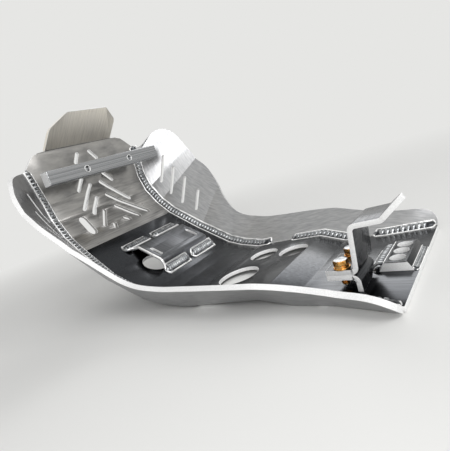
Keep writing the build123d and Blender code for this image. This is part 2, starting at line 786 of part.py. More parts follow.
# 21 beads of the channel bracket, two in front and two behind
upper_slope = Vector(fold_4[0] - fold_5[0], 0, fold_5[1] - fold_4[1])
lower_slope = Vector(fold_5[0] - fold_6[0], 0, fold_6[1] - fold_5[1])
front_share = (fold_4[0] - channel_front[0]) / (fold_4[0] - fold_5[0])
rear_share = (fold_5[0] - channel_foot[0]) / (fold_5[0] - fold_6[0])
foot_front_z = fold_4[1] + (fold_5[1] - fold_4[1]) * front_share
foot_rear_z = fold_5[1] + (fold_6[1] - fold_5[1]) * rear_share
channel_face = Vector(channel_front[0] - channel_top_front[0], 0, channel_top_front[1] - foot_front_z)
channel_back = Vector(0, 0, 1)
channel_beads = []
for ahead, z, over, gap, way, other_way in (
    (channel_front[0], foot_front_z, lead_over, lead_break, upper_slope * -1, channel_face),
    (channel_foot[0], foot_rear_z, foot_over, foot_break, lower_slope, channel_back),
):
    for y0, y1 in ((channel_y0 - over[0], mid_y + gap[0]), (mid_y + gap[1], channel_y1 + over[1])):
        channel_beads.append(cross_bead(ahead, z, y0, y1, channel_bead_r, way, other_way))
with BuildPart() as bracket_welds:
    add(channel_beads)
bracket_welds.part.label = "bracket_welds"
export_step(bracket_welds.part, "parts/bracket_welds.step")

# 22 beads of the rear block, one in front and one behind
front_side = Vector(block_foot_front - block_top_front, 0, block_h)
rear_side = Vector(block_top_rear - block_foot_rear, 0, -block_h) * -1
block_beads = [
    cross_bead(
        block_foot_front, floor_z, -block_half - block_bead_over, block_half + block_bead_over,
        block_bead_front_r, Vector(-1, 0, 0), front_side),
    cross_bead(
        block_foot_rear, floor_z, -block_half, block_half, block_bead_rear_r, Vector(1, 0, 0), rear_side),
]
with BuildPart() as block_welds:
    add(block_beads)
block_welds.part.label = "block_welds"
export_step(block_welds.part, "parts/block_welds.step")
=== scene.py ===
import contextlib
import math

import bmesh
import bpy
from mathutils import Matrix, Vector


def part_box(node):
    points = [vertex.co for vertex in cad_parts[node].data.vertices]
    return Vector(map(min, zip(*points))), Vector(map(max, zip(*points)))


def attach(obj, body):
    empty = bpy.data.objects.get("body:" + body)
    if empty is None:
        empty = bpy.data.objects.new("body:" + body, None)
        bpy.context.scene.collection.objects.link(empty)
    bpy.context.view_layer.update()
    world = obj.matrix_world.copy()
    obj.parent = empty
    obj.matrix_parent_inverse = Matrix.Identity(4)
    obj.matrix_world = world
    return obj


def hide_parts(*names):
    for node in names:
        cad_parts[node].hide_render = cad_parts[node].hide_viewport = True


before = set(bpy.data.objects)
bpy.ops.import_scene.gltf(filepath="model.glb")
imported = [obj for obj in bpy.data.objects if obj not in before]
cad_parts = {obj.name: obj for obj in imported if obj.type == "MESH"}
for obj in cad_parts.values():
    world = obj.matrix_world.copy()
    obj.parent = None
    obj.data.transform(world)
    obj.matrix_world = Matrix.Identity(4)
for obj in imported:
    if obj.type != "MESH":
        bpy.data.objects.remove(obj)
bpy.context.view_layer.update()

bl_info = {
    "name": "Motorcycle skid plate",
    "version": (1, 0, 0),
    "blender": (4, 5, 0),
    "location": "View3D > Sidebar > Skid plate",
    "description": "Dresses the welded aluminium skid plate and its studio",
    "category": "Object",
}

MM = 0.001
REAR_X = 237.5 * MM  # X of the plate's rear edge; "ahead" below is the distance in front of it, in mm
UP = Vector((0, 0, 1))
FORWARD = Vector((-1, 0, 0))

# Joint between floor and wing from the front corner to the rear edge, and the wing's top on the same
# fold lines: (ahead, half-width, height) in mm.
JOINT = [
    (476.5, 106, 226), (473, 99, 171), (466, 99, 143), (448, 100, 114), (425, 100, 91),
    (372, 104, 52), (313, 100.5, 20), (288, 98.5, 13), (254, 95.6, 8), (144, 91, 14),
    (108, 86.5, 5), (60, 88, 5), (0, 100, 5),
]
RIGHT_TOP = [
    (470, 110, 226), (409, 162, 217), (401, 167, 195), (390, 169, 170), (375, 168.6, 155),
    (346, 155, 112), (313, 134.5, 66), (270, 130.5, 48), (240, 127.4, 44), (127, 121.5, 41),
    (95, 114.5, 35), (55, 112.2, 28), (0.2, 105, 8.5),
]
LEFT_TOP = [(470, 110, 226), (408, 161.5, 207)] + RIGHT_TOP[2:]
WINGS = (("right", RIGHT_TOP, 1), ("left", LEFT_TOP, -1))

# welded stretches of the joint: front end and rear end, ahead
MIDDLE_BEAD = (192, 80)
INNER_BEADS = (("front", (476.5, 233)), ("middle", MIDDLE_BEAD), ("rear", (72, 3)))

# belly, front slope and flap: heights in mm where one finish and its painted reflection tone give way to
# the next
SLOPE_FROM = 91
FLAP_FROM = 251

# three folds of the front slope and the channel on it: (ahead, height) in mm
SLOPE_FOLDS = ((425.0, 91.0), (372.0, 52.0), (313.0, 20.0))
CHANNEL_LEAD = 396.5
CHANNEL_TOP = (374.0, 71.5)
CHANNEL_FOOT = 330.5
# crosswise reach of the channel's beads in mm, two along its lead and two along its foot
LEAD_BEADS = ((-49.0, 1.0), (12.0, 66.0))
FOOT_BEADS = ((-42.0, 7.0), (17.0, 69.0))
# middle of the channel's 4 mm strap from its lead to its foot, and where its near rim lies
CHANNEL_SECTION = [
    (396.0, 67.7), (376.0, 69.3), (374.4, 69.2), (373.1, 68.7),
    (335.0, 47.3), (333.2, 45.4), (332.5, 42.9), (332.5, 30.5),
]
CHANNEL_RIM_Y = -40.0
CHANNEL_RIM_R = 2.3

# rear block: where its two beads lie and how far they reach across, the floor's top face, and how
# its sides slope upwards
BLOCK_FRONT = 37.0
BLOCK_REAR = 4.0
BLOCK_FRONT_BEAD = (-30.0, 30.0)
BLOCK_REAR_BEAD = (-29.0, 29.0)
FLOOR_TOP = 5.0
BLOCK_FRONT_SIDE = Vector((6.0, 0, 9.5))
BLOCK_REAR_SIDE = Vector((-5.5, 0, 9.5))

# how far each bead reaches up both of its faces, mm
JOINT_BEAD_R = 7.0
OUTER_BEAD_R = 4.5
CHANNEL_BEAD_R = 8.5
BLOCK_FRONT_BEAD_R = 10.0
BLOCK_REAR_BEAD_R = 3.2

# ripple pitch of the small beads: the channel's as a share of the wings', the block's in mm
CHANNEL_PITCH = 0.7
BLOCK_FRONT_PITCH = 5.0
BLOCK_REAR_PITCH = 3.0

STATION_MM = 0.5  # spacing of the places worked out along a bead
DROP_LENGTH = 0.85  # half-length of a drop of weld as a share of the ripple pitch
CORD_TRIM = 3  # stations that a washed toe stops short of its bead's ends
CORD_SKIP = 6  # stations between two points of a washed toe

# screws, mm
BAR_HOLES_Y = (-42.0, 42.0)
BAR_HOLE_Z = 204.5
CLAMP_BOLT_X = 179.5
CLAMP_BOLTS_Y = (-65.0, -33.0)
M8_R = 4.0
M8_PITCH = 1.25
M8_DEPTH = 0.65
BAR_HEAD_R = 8.0
BAR_HEAD_H = 6.0
BAR_KEY_FLATS = 5.0
BAR_KEY_DEPTH = 3.5
HEAD_DOME = 2.4
BOLT_FLATS = 13.0
BOLT_HEAD_H = 5.3

# studio
FADE_FROM, FADE_TO = 0.45, 1.3  # metres from the part over which the paper turns to the room's tone
ROOM_STRENGTH = 0.45
AIM = Vector((0, 0, 0.08))
LIGHTS = (  # name, place and size in metres, power in watts
    ("key_softbox", (0.95, -0.5, 1.25), 0.8, 7.0),
    ("front_softbox", (0.62, -0.8, 0.42), 0.45, 3.0),
    ("rear_softbox", (1.3, 0.3, 1.3), 0.7, 3.5),
    ("side_softbox", (-0.4, 1.3, 1.0), 0.8, 5.0),
)

# the photograph's view, about 0.5 m away, the plate tipped forward in it
CAMERA_PLACE = (0.3259, -0.3899, 0.1663)
CAMERA_RIGHT = Vector((0.7692, 0.5604, -0.3070))
CAMERA_BACK = Vector((0.6258, -0.7579, 0.1845))
FOCAL_PX = 380.0
PHOTO_WIDTH_PX = 450.0
SENSOR_MM = 36.0


def linear(hex_colour):
    """sRGB hex to the linear colour that Blender's nodes take."""
    values = []
    for i in (1, 3, 5):
        c = int(hex_colour[i:i + 2], 16) / 255
        values.append(c / 12.92 if c <= 0.04045 else ((c + 0.055) / 1.055) ** 2.4)
    return (*values, 1.0)


def add_node(tree, kind, settings=None, links=None):
    """Adds a node, sets its options or sockets and links sockets to it."""
    node = tree.nodes.new(kind)
    for key, value in (settings or {}).items():
        if isinstance(key, str) and hasattr(node, key):
            setattr(node, key, value)
        else:
            node.inputs[key].default_value = value
    for key, source in (links or {}).items():
        tree.links.new(source, node.inputs[key])
    return node


def new_material(name, metallic, roughness):
    """Fresh material: its tree, its shader and its Object coordinates."""
    mat = bpy.data.materials.new(name)
    mat.use_nodes = True
    tree = mat.node_tree
    shader = tree.nodes["Principled BSDF"]
    shader.inputs["Metallic"].default_value = metallic
    shader.inputs["Roughness"].default_value = roughness
    place = add_node(tree, "ShaderNodeTexCoord")
    return mat, tree, shader, place.outputs["Object"]


def streaks(tree, place, scale, detail=3.0):
    """Noise drawn out into lines: scale is the number of marks per metre on each axis."""
    stretch = add_node(tree, "ShaderNodeMapping", {"Scale": scale}, {"Vector": place})
    return add_node(tree, "ShaderNodeTexNoise", {"Scale": 1.0, "Detail": detail, "Roughness": 0.6},
                    {"Vector": stretch.outputs[0]}).outputs["Fac"]


def blend_colours(tree, factor, dark, light, low=0.35, high=0.65):
    """Colour that runs from dark to light while the pattern runs from low to high."""
    ramp = add_node(tree, "ShaderNodeValToRGB", links={"Fac": factor})
    ramp.color_ramp.elements[0].position = low
    ramp.color_ramp.elements[0].color = linear(dark)
    ramp.color_ramp.elements[1].position = high
    ramp.color_ramp.elements[1].color = linear(light)
    return ramp.outputs["Color"]


def spread(tree, factor, low, high):
    """A 0..1 pattern brought to a range, such as the roughness of a worn face."""
    return add_node(tree, "ShaderNodeMapRange", {"To Min": low, "To Max": high},
                    {"Value": factor}).outputs[0]


def relief(tree, shader, height, depth_mm):
    """Fine marks of the metal, too small to be modelled."""
    bump = add_node(tree, "ShaderNodeBump", {"Distance": depth_mm * MM, "Strength": 1.0},
                    {"Height": height})
    tree.links.new(bump.outputs[0], shader.inputs["Normal"])


def coat(tree, shader, colour, roughness):
    tree.links.new(colour, shader.inputs["Base Color"])
    tree.links.new(roughness, shader.inputs["Roughness"])


def bright_rolled_aluminium(dark, light):
    # mill-finish sheet, near mirror, with its rolling lines along the plate and clouded roughness:
    # a dark base stands for the dark room that it mirrors
    mat, tree, shader, place = new_material("bright_rolled_aluminium", 1.0, 0.2)
    lines = streaks(tree, place, (18, 900, 900))
    clouds = streaks(tree, place, (22, 30, 30), 4.0)
    colour = blend_colours(tree, lines, dark, light)
    coat(tree, shader, colour, spread(tree, clouds, 0.13, 0.3))
    relief(tree, shader, lines, 0.012)
    return mat


def satin_aluminium_painted_reflection(name, dark, light, scale, low, high, lines_mm=0.02):
    # the same sheet rubbed down to satin: soft broad sheen, fine lines of the rubbing; the base tones
    # passed in are painted reflection, set for each piece
    mat, tree, shader, place = new_material(name, 1.0, 0.35)
    lines = streaks(tree, place, scale)
    clouds = streaks(tree, place, (35, 35, 35), 5.0)
    colour = blend_colours(tree, lines, dark, light, 0.3, 0.7)
    coat(tree, shader, colour, spread(tree, clouds, low, high))
    relief(tree, shader, lines, lines_mm)
    return mat


def cut_edge_painted_highlight(light):
    # edge of the sheet fresh from the cutter: the brightest metal on the plate, its near-white partly a
    # painted highlight on rims and softened edges, grain of about 1 mm
    mat, tree, shader, place = new_material("cut_edge_aluminium_painted_highlight", 0.45, 0.7)
    grain = streaks(tree, place, (900, 900, 900), 1.0)
    colour = blend_colours(tree, grain, "#e9e9e9", light)
    coat(tree, shader, colour, spread(tree, grain, 0.68, 0.76))
    return mat


def drawn_bar_aluminium(dark, light):
    # drawn flat bar, lines along it about 1 mm apart
    mat, tree, shader, place = new_material("drawn_aluminium_bar", 1.0, 0.28)
    lines = streaks(tree, place, (900, 3, 900), 2.0)
    colour = blend_colours(tree, lines, dark, light, 0.3, 0.7)
    coat(tree, shader, colour, spread(tree, lines, 0.2, 0.36))
    relief(tree, shader, lines, 0.03)
    return mat


def weld_aluminium(name, dark, light, low, high):
    # tig bead: clean bright metal, a grey bloom of oxide in patches
    mat, tree, shader, place = new_material(name, 1.0, 0.3)
    bloom = streaks(tree, place, (160, 160, 160), 4.0)
    colour = blend_colours(tree, bloom, dark, light, 0.35, 0.6)
    coat(tree, shader, colour, spread(tree, bloom, low, high))
    relief(tree, shader, bloom, 0.05)
    return mat


def yellow_zinc(gold, pale):
    # zinc plate with yellow chromate: gold with paler clouds
    mat, tree, shader, place = new_material("yellow_zinc_steel", 1.0, 0.26)
    clouds = streaks(tree, place, (240, 240, 240), 3.0)
    colour = blend_colours(tree, clouds, gold, pale, 0.38, 0.62)
    coat(tree, shader, colour, spread(tree, clouds, 0.2, 0.34))
    return mat


def clear_zinc():
    # clear zinc on the long screws and the tops of the bolts: plain pale steel, faint turning marks
    mat, tree, shader, place = new_material("clear_zinc_steel", 1.0, 0.3)
    marks = streaks(tree, place, (500, 500, 500), 2.0)
    colour = blend_colours(tree, marks, "#9a9c9f", "#c3c5c8")
    coat(tree, shader, colour, spread(tree, marks, 0.22, 0.4))
    return mat


def only(obj):
    """Makes one object the selected and active one."""
    bpy.ops.object.select_all(action="DESELECT")
    obj.select_set(True)
    bpy.context.view_layer.objects.active = obj


def added(add, **settings):
    """The object that an operator adds, alone in the selection."""
    bpy.ops.object.select_all(action="DESELECT")
    add(**settings)
    return bpy.context.active_object


def new_object(name, data):
    obj = bpy.data.objects.new(name, data)
    bpy.context.scene.collection.objects.link(obj)
    return obj


@contextlib.contextmanager
def whole_mesh():
    """Edit mode on the active object, all of its mesh selected."""
    bpy.ops.object.mode_set(mode="EDIT")
    bpy.ops.mesh.select_all(action="SELECT")
    yield
    bpy.ops.object.mode_set(mode="OBJECT")


def apply_modifier(obj, kind, **settings):
    only(obj)
    bpy.ops.object.modifier_add(type=kind)
    modifier = obj.modifiers[-1]
    for key, value in settings.items():
        setattr(modifier, key, value)
    bpy.ops.object.modifier_apply(modifier=modifier.name)


def settle(obj):
    """Puts the object's place in its mesh."""
    only(obj)
    bpy.ops.object.transform_apply(location=True, rotation=True, scale=True)


def set_materials(obj, *mats):
    obj.data.materials.clear()
    for mat in mats:
        obj.data.materials.append(mat)


def smooth(obj, degrees):
    """Smooth shading, except over edges sharper than the angle."""
    only(obj)
    bpy.ops.object.shade_smooth_by_angle(angle=math.radians(degrees))


def joined(parts, name):
    """Separate shapes made one piece."""
    bpy.ops.object.select_all(action="DESELECT")
    for part in parts:
        part.select_set(True)
    bpy.context.view_layer.objects.active = parts[0]
    bpy.ops.object.join()
    piece = bpy.context.active_object
    piece.name = name
    piece.data.name = name
    return piece


def merged_copy(node, name):
    """Own copy of a CAD node, its loose triangles joined to one skin."""
    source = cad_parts[node]
    piece = source.copy()
    piece.data = source.data.copy()
    piece.name = name
    piece.data.name = name
    bpy.context.scene.collection.objects.link(piece)
    piece.hide_set(False)
    piece.hide_render = False
    only(piece)
    with whole_mesh():
        bpy.ops.mesh.remove_doubles(threshold=0.005 * MM)
        bpy.ops.mesh.customdata_custom_splitnormals_clear()
    return piece


def mark_rims(piece, sides, crease_deg=48):
    """Gives slot 1 to all but the largest smooth stretches of skin, which are the sheet's sides."""
    shape = bmesh.new()
    shape.from_mesh(piece.data)
    shape.faces.ensure_lookup_table()
    no_angle = 3.0  # taken for edges that lack one, so they always part two stretches
    seen = set()
    stretches = []
    for first in shape.faces:
        if first.index in seen:
            continue
        seen.add(first.index)
        group = [first]
        for face in group:
            for edge in face.edges:
                if (len(edge.link_faces) == 2
                        and edge.calc_face_angle(no_angle) < math.radians(crease_deg)):
                    for other in edge.link_faces:
                        if other.index not in seen:
                            seen.add(other.index)
                            group.append(other)
        stretches.append((sum(f.calc_area() for f in group), group))
    stretches.sort(key=lambda s: -s[0])
    for rank, (_, group) in enumerate(stretches):
        for face in group:
            face.material_index = 0 if rank < sides else 1
    shape.to_mesh(piece.data)
    shape.free()


def dressed(node, name, side_mat, edge_mat, sides=2, edge_mm=0.4, smooth_deg=28, sawn_and_highlit=None):
    """A node with softened edges and bright cut rims, their white partly a painted highlight, standing for
    the CAD solid.
    """
    piece = merged_copy(node, name)
    set_materials(piece, side_mat, edge_mat)
    mark_rims(piece, sides)
    if sawn_and_highlit:
        # solid bar stock: only the faces that the saw or the drill left are bright, their white partly a
        # painted highlight
        for face in piece.data.polygons:
            face.material_index = 1 if sawn_and_highlit(face.normal) else 0
    if edge_mm:
        apply_modifier(piece, "BEVEL", width=edge_mm * MM, segments=2, limit_method="ANGLE",
                       angle_limit=math.radians(48), use_clamp_overlap=False,
                       harden_normals=False, material=1)
    smooth(piece, smooth_deg)
    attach(piece, "root")
    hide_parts(node)
    return piece


def spot(point, side=1):
    """Place in the frame of a point given as (ahead, half-width, height) in mm."""
    ahead, y, z = point
    return Vector((REAR_X - ahead * MM, side * y * MM, z * MM))


def bead_line(span, tops, side, inner):
    """Stations along the joint: corner, along, and the two ways out of the corner."""
    feet = [spot(p, side) for p in JOINT]
    heads = [spot(p, side) for p in tops]
    line = []
    for i in range(len(feet) - 1):
        run = feet[i + 1] - feet[i]
        along = run.normalized()
        count = max(int(run.length / (STATION_MM * MM)), 1)
        for k in range(count):
            t = k / count
            corner = feet[i].lerp(feet[i + 1], t)
            ahead = (REAR_X - corner.x) / MM
            if not span[1] <= ahead <= span[0]:
                continue
            lean = (heads[i].lerp(heads[i + 1], t) - corner).normalized()
            if inner:
                ways = (Vector((0, -side, 0)), lean)
            else:
                outward = along.cross(lean).normalized()
                if outward.y * side < 0:
                    outward = -outward
                ways = (-UP, outward)
            line.append((corner, along, *ways))
    return line


def cross_line(ahead, z, y0, y1, way, other_way):
    """The same for a straight bead across the plate."""
    count = int(abs(y1 - y0) / STATION_MM)
    line = []
    for k in range(count + 1):
        y = y0 + (y1 - y0) * k / count
        line.append((spot((ahead, y, z)), Vector((0, 1, 0)), way.normalized(), other_way.normalized()))
    return line


def weld_drop():
    """One drop of weld: the cap of a ball with its foot on Z 0, its foot's radius and its height 1."""
    drop = added(bpy.ops.mesh.primitive_uv_sphere_add, segments=16, ring_count=28, radius=1.0,
                 location=(0, 0, 0))
    cap = math.radians(40)
    with whole_mesh():
        bpy.ops.mesh.bisect(plane_co=(0, 0, math.cos(cap)), plane_no=(0, 0, 1), use_fill=True,
                            clear_inner=True)
        bpy.ops.mesh.select_all(action="SELECT")
        bpy.ops.transform.translate(value=(0, 0, -math.cos(cap)))
        bpy.ops.transform.resize(value=(1 / math.sin(cap), 1 / math.sin(cap), 1 / (1 - math.cos(cap))),
                                 center_override=(0, 0, 0))
    return drop


def ripples(name, lines, r_mm, pitch_mm, mat, proud_mm, fullness=0.75, width=0.95):
    """Weld bead as the welder lays it: one drop modelled, then laid overlapping along each line.

    The drops' crowns lie a share of the bead's reach out of the corner, plus the proud height.
    """
    drop = weld_drop()
    end_share = 0.7  # size of a bead's first and last drop
    lean_back = Matrix.Rotation(math.radians(11), 4, "Y")
    step = max(int(round(pitch_mm / STATION_MM)), 1)
    drops = []
    for line in lines:
        marks = range(step // 2, len(line) - step // 2, step)
        for k in marks:
            corner, along, way, other = line[k]
            r = r_mm * MM * (end_share if k in (marks[0], marks[-1]) else 1.0)
            a = corner + way * r
            b = corner + other * r
            out = (way + other).normalized()
            crown = corner + out * (r * fullness + proud_mm * MM)
            chord = (a + b) / 2
            rise = (crown - chord).dot(out)
            across = (b - a).length / 2 * width
            side_way = (a - b).normalized()
            along = side_way.cross(out).normalized()
            turn = Matrix((along, side_way, out)).transposed().to_4x4()
            size = Matrix.Diagonal((pitch_mm * DROP_LENGTH * MM, across, rise, 1.0))
            copy = drop.copy()
            copy.data = drop.data.copy()
            copy.data.transform(Matrix.Translation(chord) @ turn @ lean_back @ size)
            bpy.context.scene.collection.objects.link(copy)
            drops.append(copy)
    bpy.data.objects.remove(drop)
    bead = joined(drops, name)
    only(bead)
    with whole_mesh():
        bpy.ops.mesh.normals_make_consistent(inside=False)
    smooth(bead, 50)
    set_materials(bead, mat)
    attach(bead, "root")
    return bead


def new_wire(name, r_mm, resolution):
    """Empty curve that is drawn as a round cord."""
    curve = bpy.data.curves.new(name, "CURVE")
    curve.dimensions = "3D"
    curve.bevel_depth = r_mm * MM
    curve.bevel_resolution = resolution
    return curve


def add_run(curve, places):
    spline = curve.splines.new("POLY")
    spline.points.add(len(places) - 1)
    for point, place in zip(spline.points, places):
        point.co = (*place, 1.0)
    return spline


def cord_piece(name, curve, mat):
    """The drawn cord turned to a mesh, as weld metal on the plate."""
    cord = new_object(name, curve)
    only(cord)
    bpy.ops.object.convert(target="MESH")
    cord = bpy.context.active_object
    cord.name = name
    smooth(cord, 60)
    set_materials(cord, mat)
    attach(cord, "root")
    return cord


def toe_cords(name, lines, r_mm, mat, wire_mm=1.4, sunk_mm=0.6, other_share=1.0):
    """Bright washed edge round each bead, partly a painted highlight where the bead's edge catches light:
    a fine cord, half sunk in the metal on both sides.
    """
    curve = new_wire(name, wire_mm, 1)
    reach_mm = r_mm + 0.3  # just past the bead's own edge
    tip_mm = 1.3  # how far the cord rounds the bead's end
    for line in lines:
        stations = line[CORD_TRIM:-CORD_TRIM:CORD_SKIP]
        sides = ([], [])
        for corner, along, way, other in stations:
            for row, run, lid in ((sides[0], way, other), (sides[1], other, way)):
                normal = along.cross(run).normalized()
                if normal.dot(lid) < 0:
                    normal = -normal
                row.append(corner + run * (reach_mm * MM) - normal * (sunk_mm * MM))
        ends = []
        for (corner, along, way, other), outward in ((stations[-1], 1), (stations[0], -1)):
            # three points round the end, the middle one close to the corner
            tip = corner + along * (outward * tip_mm * MM)
            turn = [tip + way * (r_mm * 0.55 * MM), tip + (way + other) * (r_mm * 0.12 * MM),
                    tip + other * (r_mm * 0.55 * MM)]
            ends.append(turn if outward == 1 else turn[::-1])
        spline = add_run(curve, sides[0] + ends[0] + sides[1][::-1] + ends[1])
        first_other = len(sides[0]) + len(ends[0])
        for k in range(first_other, first_other + len(sides[1])):
            spline.points[k].radius = other_share
        spline.use_cyclic_u = True
    return cord_piece(name, curve, mat)


def rim_highlight_cord(name, section, y_mm, wire_mm, mat):
    """Smooth white cord laid over a strap's whole cut edge, along its section: a painted highlight on the
    rim.
    """
    curve = new_wire(name, wire_mm, 2)
    curve.use_fill_caps = True
    add_run(curve, [spot((ahead, y_mm, z)) for ahead, z in section])
    return cord_piece(name, curve, mat)


def thread(r_mm, length_mm):
    """M8 thread standing on Z from 0: a solid core and one helical ridge wound round it."""
    core_r = r_mm - M8_DEPTH
    root_r = core_r - 0.1  # the ridge's foot lies inside the core
    crest_r = r_mm - 0.05
    half_crest = 0.12
    core = added(bpy.ops.mesh.primitive_cylinder_add, vertices=32, radius=core_r * MM,
                 depth=length_mm * MM, location=(0, 0, length_mm * MM / 2))
    turns = int((length_mm - 2 * M8_PITCH) / M8_PITCH)
    profile = [
        (root_r, 0.0), (crest_r, 0.5 * M8_PITCH - half_crest),
        (crest_r, 0.5 * M8_PITCH + half_crest), (root_r, M8_PITCH),
    ]
    points = [(x * MM, 0, (z + 0.5 * M8_PITCH) * MM) for x, z in profile]
    ridge_shape = bpy.data.meshes.new("ridge")
    ridge_shape.from_pydata(points, [(0, 1), (1, 2), (2, 3)], [])
    ridge = new_object("ridge", ridge_shape)
    apply_modifier(ridge, "SCREW", angle=2 * math.pi, screw_offset=M8_PITCH * MM, iterations=turns,
                   steps=24, render_steps=24, use_merge_vertices=True, merge_threshold=0.01 * MM)
    only(ridge)
    with whole_mesh():
        bpy.ops.mesh.remove_doubles(threshold=0.01 * MM)
        bpy.ops.mesh.normals_make_consistent(inside=False)
    apply_modifier(core, "BEVEL", width=0.6 * MM, segments=2, limit_method="ANGLE")
    return joined([core, ridge], "thread")


def hex_radius(flats_mm):
    """Corner radius of a hexagon from its size across flats."""
    return flats_mm / 2 / math.cos(math.pi / 6)


def hex_head(flats_mm, h_mm):
    """Hexagon head standing on Z from 0, its corners turned off at the top."""
    head = added(bpy.ops.mesh.primitive_cylinder_add, vertices=6, radius=hex_radius(flats_mm) * MM,
                 depth=h_mm * MM, location=(0, 0, h_mm * MM / 2))
    cone_h = 5.0  # cone whose side meets the head's corners and whose top is just inside its flats
    turned = added(bpy.ops.mesh.primitive_cone_add, vertices=64,
                   radius1=(hex_radius(flats_mm) + 9.0) * MM, radius2=(flats_mm / 2 - 0.3) * MM,
                   depth=cone_h * MM, location=(0, 0, (h_mm - cone_h / 2) * MM))
    apply_modifier(head, "BOOLEAN", operation="INTERSECT", object=turned, solver="EXACT")
    bpy.data.objects.remove(turned)
    apply_modifier(head, "BEVEL", width=0.15 * MM, segments=2, limit_method="ANGLE")
    return head


def socket_head(r_mm, h_mm, key_flats_mm, key_depth_mm):
    """Round screw head on Z from 0 with a domed edge and a hexagon key hole in its top."""
    head = added(bpy.ops.mesh.primitive_cylinder_add, vertices=48, radius=r_mm * MM,
                 depth=h_mm * MM, location=(0, 0, h_mm * MM / 2))
    bpy.ops.object.mode_set(mode="EDIT")
    bpy.ops.mesh.select_all(action="DESELECT")
    bpy.ops.object.mode_set(mode="OBJECT")
    for edge in head.data.edges:
        ends = [head.data.vertices[v].co.z for v in edge.vertices]
        edge.select = min(ends) > (h_mm / 2 - 0.01) * MM
    bpy.context.tool_settings.mesh_select_mode = (False, True, False)
    bpy.ops.object.mode_set(mode="EDIT")
    bpy.ops.mesh.bevel(offset=HEAD_DOME * MM, segments=6, affect="EDGES")
    bpy.ops.object.mode_set(mode="OBJECT")
    key = added(bpy.ops.mesh.primitive_cylinder_add, vertices=6, radius=hex_radius(key_flats_mm) * MM,
                depth=2 * key_depth_mm * MM, location=(0, 0, h_mm * MM))
    apply_modifier(head, "BOOLEAN", operation="DIFFERENCE", object=key, solver="EXACT")
    bpy.data.objects.remove(key)
    return head


def put(obj, x_mm, y_mm, z_mm, turn=None):
    """Places a shape by its own zero point, in millimetres."""
    settle(obj)
    move = Matrix.Translation(Vector((x_mm, y_mm, z_mm)) * MM)
    obj.data.transform(move @ (turn or Matrix.Identity(4)))
    return obj


class PlateLooks(bpy.types.PropertyGroup):
    floor_dark: bpy.props.StringProperty(
        name="Floor, dark", description="Darker lines of the floor", default="#313235")
    floor_light: bpy.props.StringProperty(
        name="Floor, light", description="Lighter lines", default="#4b4d50")
    wing_dark: bpy.props.StringProperty(
        name="Wing, dark", description="Darker lines of the wings", default="#9a9b9d")
    wing_light: bpy.props.StringProperty(
        name="Wing, light", description="Lighter lines", default="#b8b8b9")
    # the cut edge's near-white is partly a painted highlight on rims and softened edges
    edge: bpy.props.StringProperty(
        name="Cut edge", description="Fresh edge of the sheet", default="#f4f4f4")
    edge_mm: bpy.props.FloatProperty(
        name="Edge", description="Softened edge width in mm", default=0.4, min=0.0, max=1.5)
    ripple_mm: bpy.props.FloatProperty(
        name="Ripple", description="Weld ripple pitch in mm", default=6.0, min=2.0, max=9.0)
    floor_colour: bpy.props.StringProperty(
        name="Backdrop", description="Studio floor", default="#e6e6e4")


made = {}


def finishes():
    """Every finish, made once."""
    if made:
        return made
    looks = bpy.context.scene.skid_plate
    made["floor"] = bright_rolled_aluminium(looks.floor_dark, looks.floor_light)
    # painted reflection: the slope's mid-grey base tones
    made["slope"] = satin_aluminium_painted_reflection(
        "satin_slope_painted_reflection", "#878685", "#b0aeab", (700, 25, 25), 0.24, 0.36)
    # painted reflection: the channel's dark grey base tones
    made["channel"] = satin_aluminium_painted_reflection(
        "satin_channel_painted_reflection", "#525356", "#717376", (20, 700, 20), 0.24, 0.36)
    # painted reflection: the flap's near-white base tones
    made["flap"] = satin_aluminium_painted_reflection(
        "satin_flap_painted_reflection", "#e9e4da", "#fffaf0", (25, 500, 25), 0.42, 0.6)
    # painted reflection: the wings' light grey base tones
    made["wing"] = satin_aluminium_painted_reflection(
        "satin_aluminium_painted_reflection", looks.wing_dark, looks.wing_light, (60, 700, 60), 0.28, 0.38, 0.01)
    # painted reflection: the clamp straps' near-black base tones
    made["strap"] = satin_aluminium_painted_reflection(
        "satin_strap_painted_reflection", "#323336", "#4c4e51", (700, 20, 700), 0.2, 0.34)
    # painted reflection: the block's near-black top and base
    made["block"] = satin_aluminium_painted_reflection(
        "block_painted_dark_reflection", "#26272a", "#3b3d40", (700, 20, 700), 0.2, 0.34)
    made["edge"] = cut_edge_painted_highlight(looks.edge)
    made["bar"] = drawn_bar_aluminium("#86888a", "#b4b5b7")
    made["weld"] = weld_aluminium("tig_weld_aluminium", "#6f7174", "#a9abad", 0.14, 0.26)
    # painted shade: the dark metal seen in the valleys between weld drops
    made["valley"] = weld_aluminium("weld_valley_painted_shade", "#333538", "#4c4e51", 0.3, 0.45)
    # white of the washed weld toes, partly a painted highlight; the hole rings and the channel rim cord
    # take it as painted highlight
    made["toe"] = weld_aluminium("washed_weld_toe", "#f0f0f0", "#ffffff", 0.4, 0.55)
    made["gold"] = yellow_zinc("#c8832f", "#f0c682")
    made["steel"] = clear_zinc()
    return made


class SKID_OT_sheets(bpy.types.Operator):
    """Dress the folded floor and both wings."""
    bl_idname = "skid.sheets"
    bl_label = "Floor and wings"

    def execute(self, context):
        mats = finishes()
        edge_mm = context.scene.skid_plate.edge_mm
        floor = dressed("belly_plate", "floor_sheet", mats["floor"], mats["edge"],
                        edge_mm=edge_mm)
        floor.data.materials.append(mats["slope"])
        floor.data.materials.append(mats["flap"])
        # the flap and the steep front panels are rubbed satin, the belly keeps its mill shine; their base
        # tones are painted reflection, near-white on the flap, mid-grey on the slope, dark on the belly
        for face in floor.data.polygons:
            if face.material_index == 0 and face.center.z > SLOPE_FROM * MM:
                face.material_index = 3 if face.center.z > FLAP_FROM * MM else 2
        # the wings' folds are shallow and stay crisp
        for side in ("right", "left"):
            dressed("%s_wing" % side, "%s_wing_sheet" % side, mats["wing"], mats["edge"],
                    edge_mm=edge_mm, smooth_deg=9)
        return {"FINISHED"}


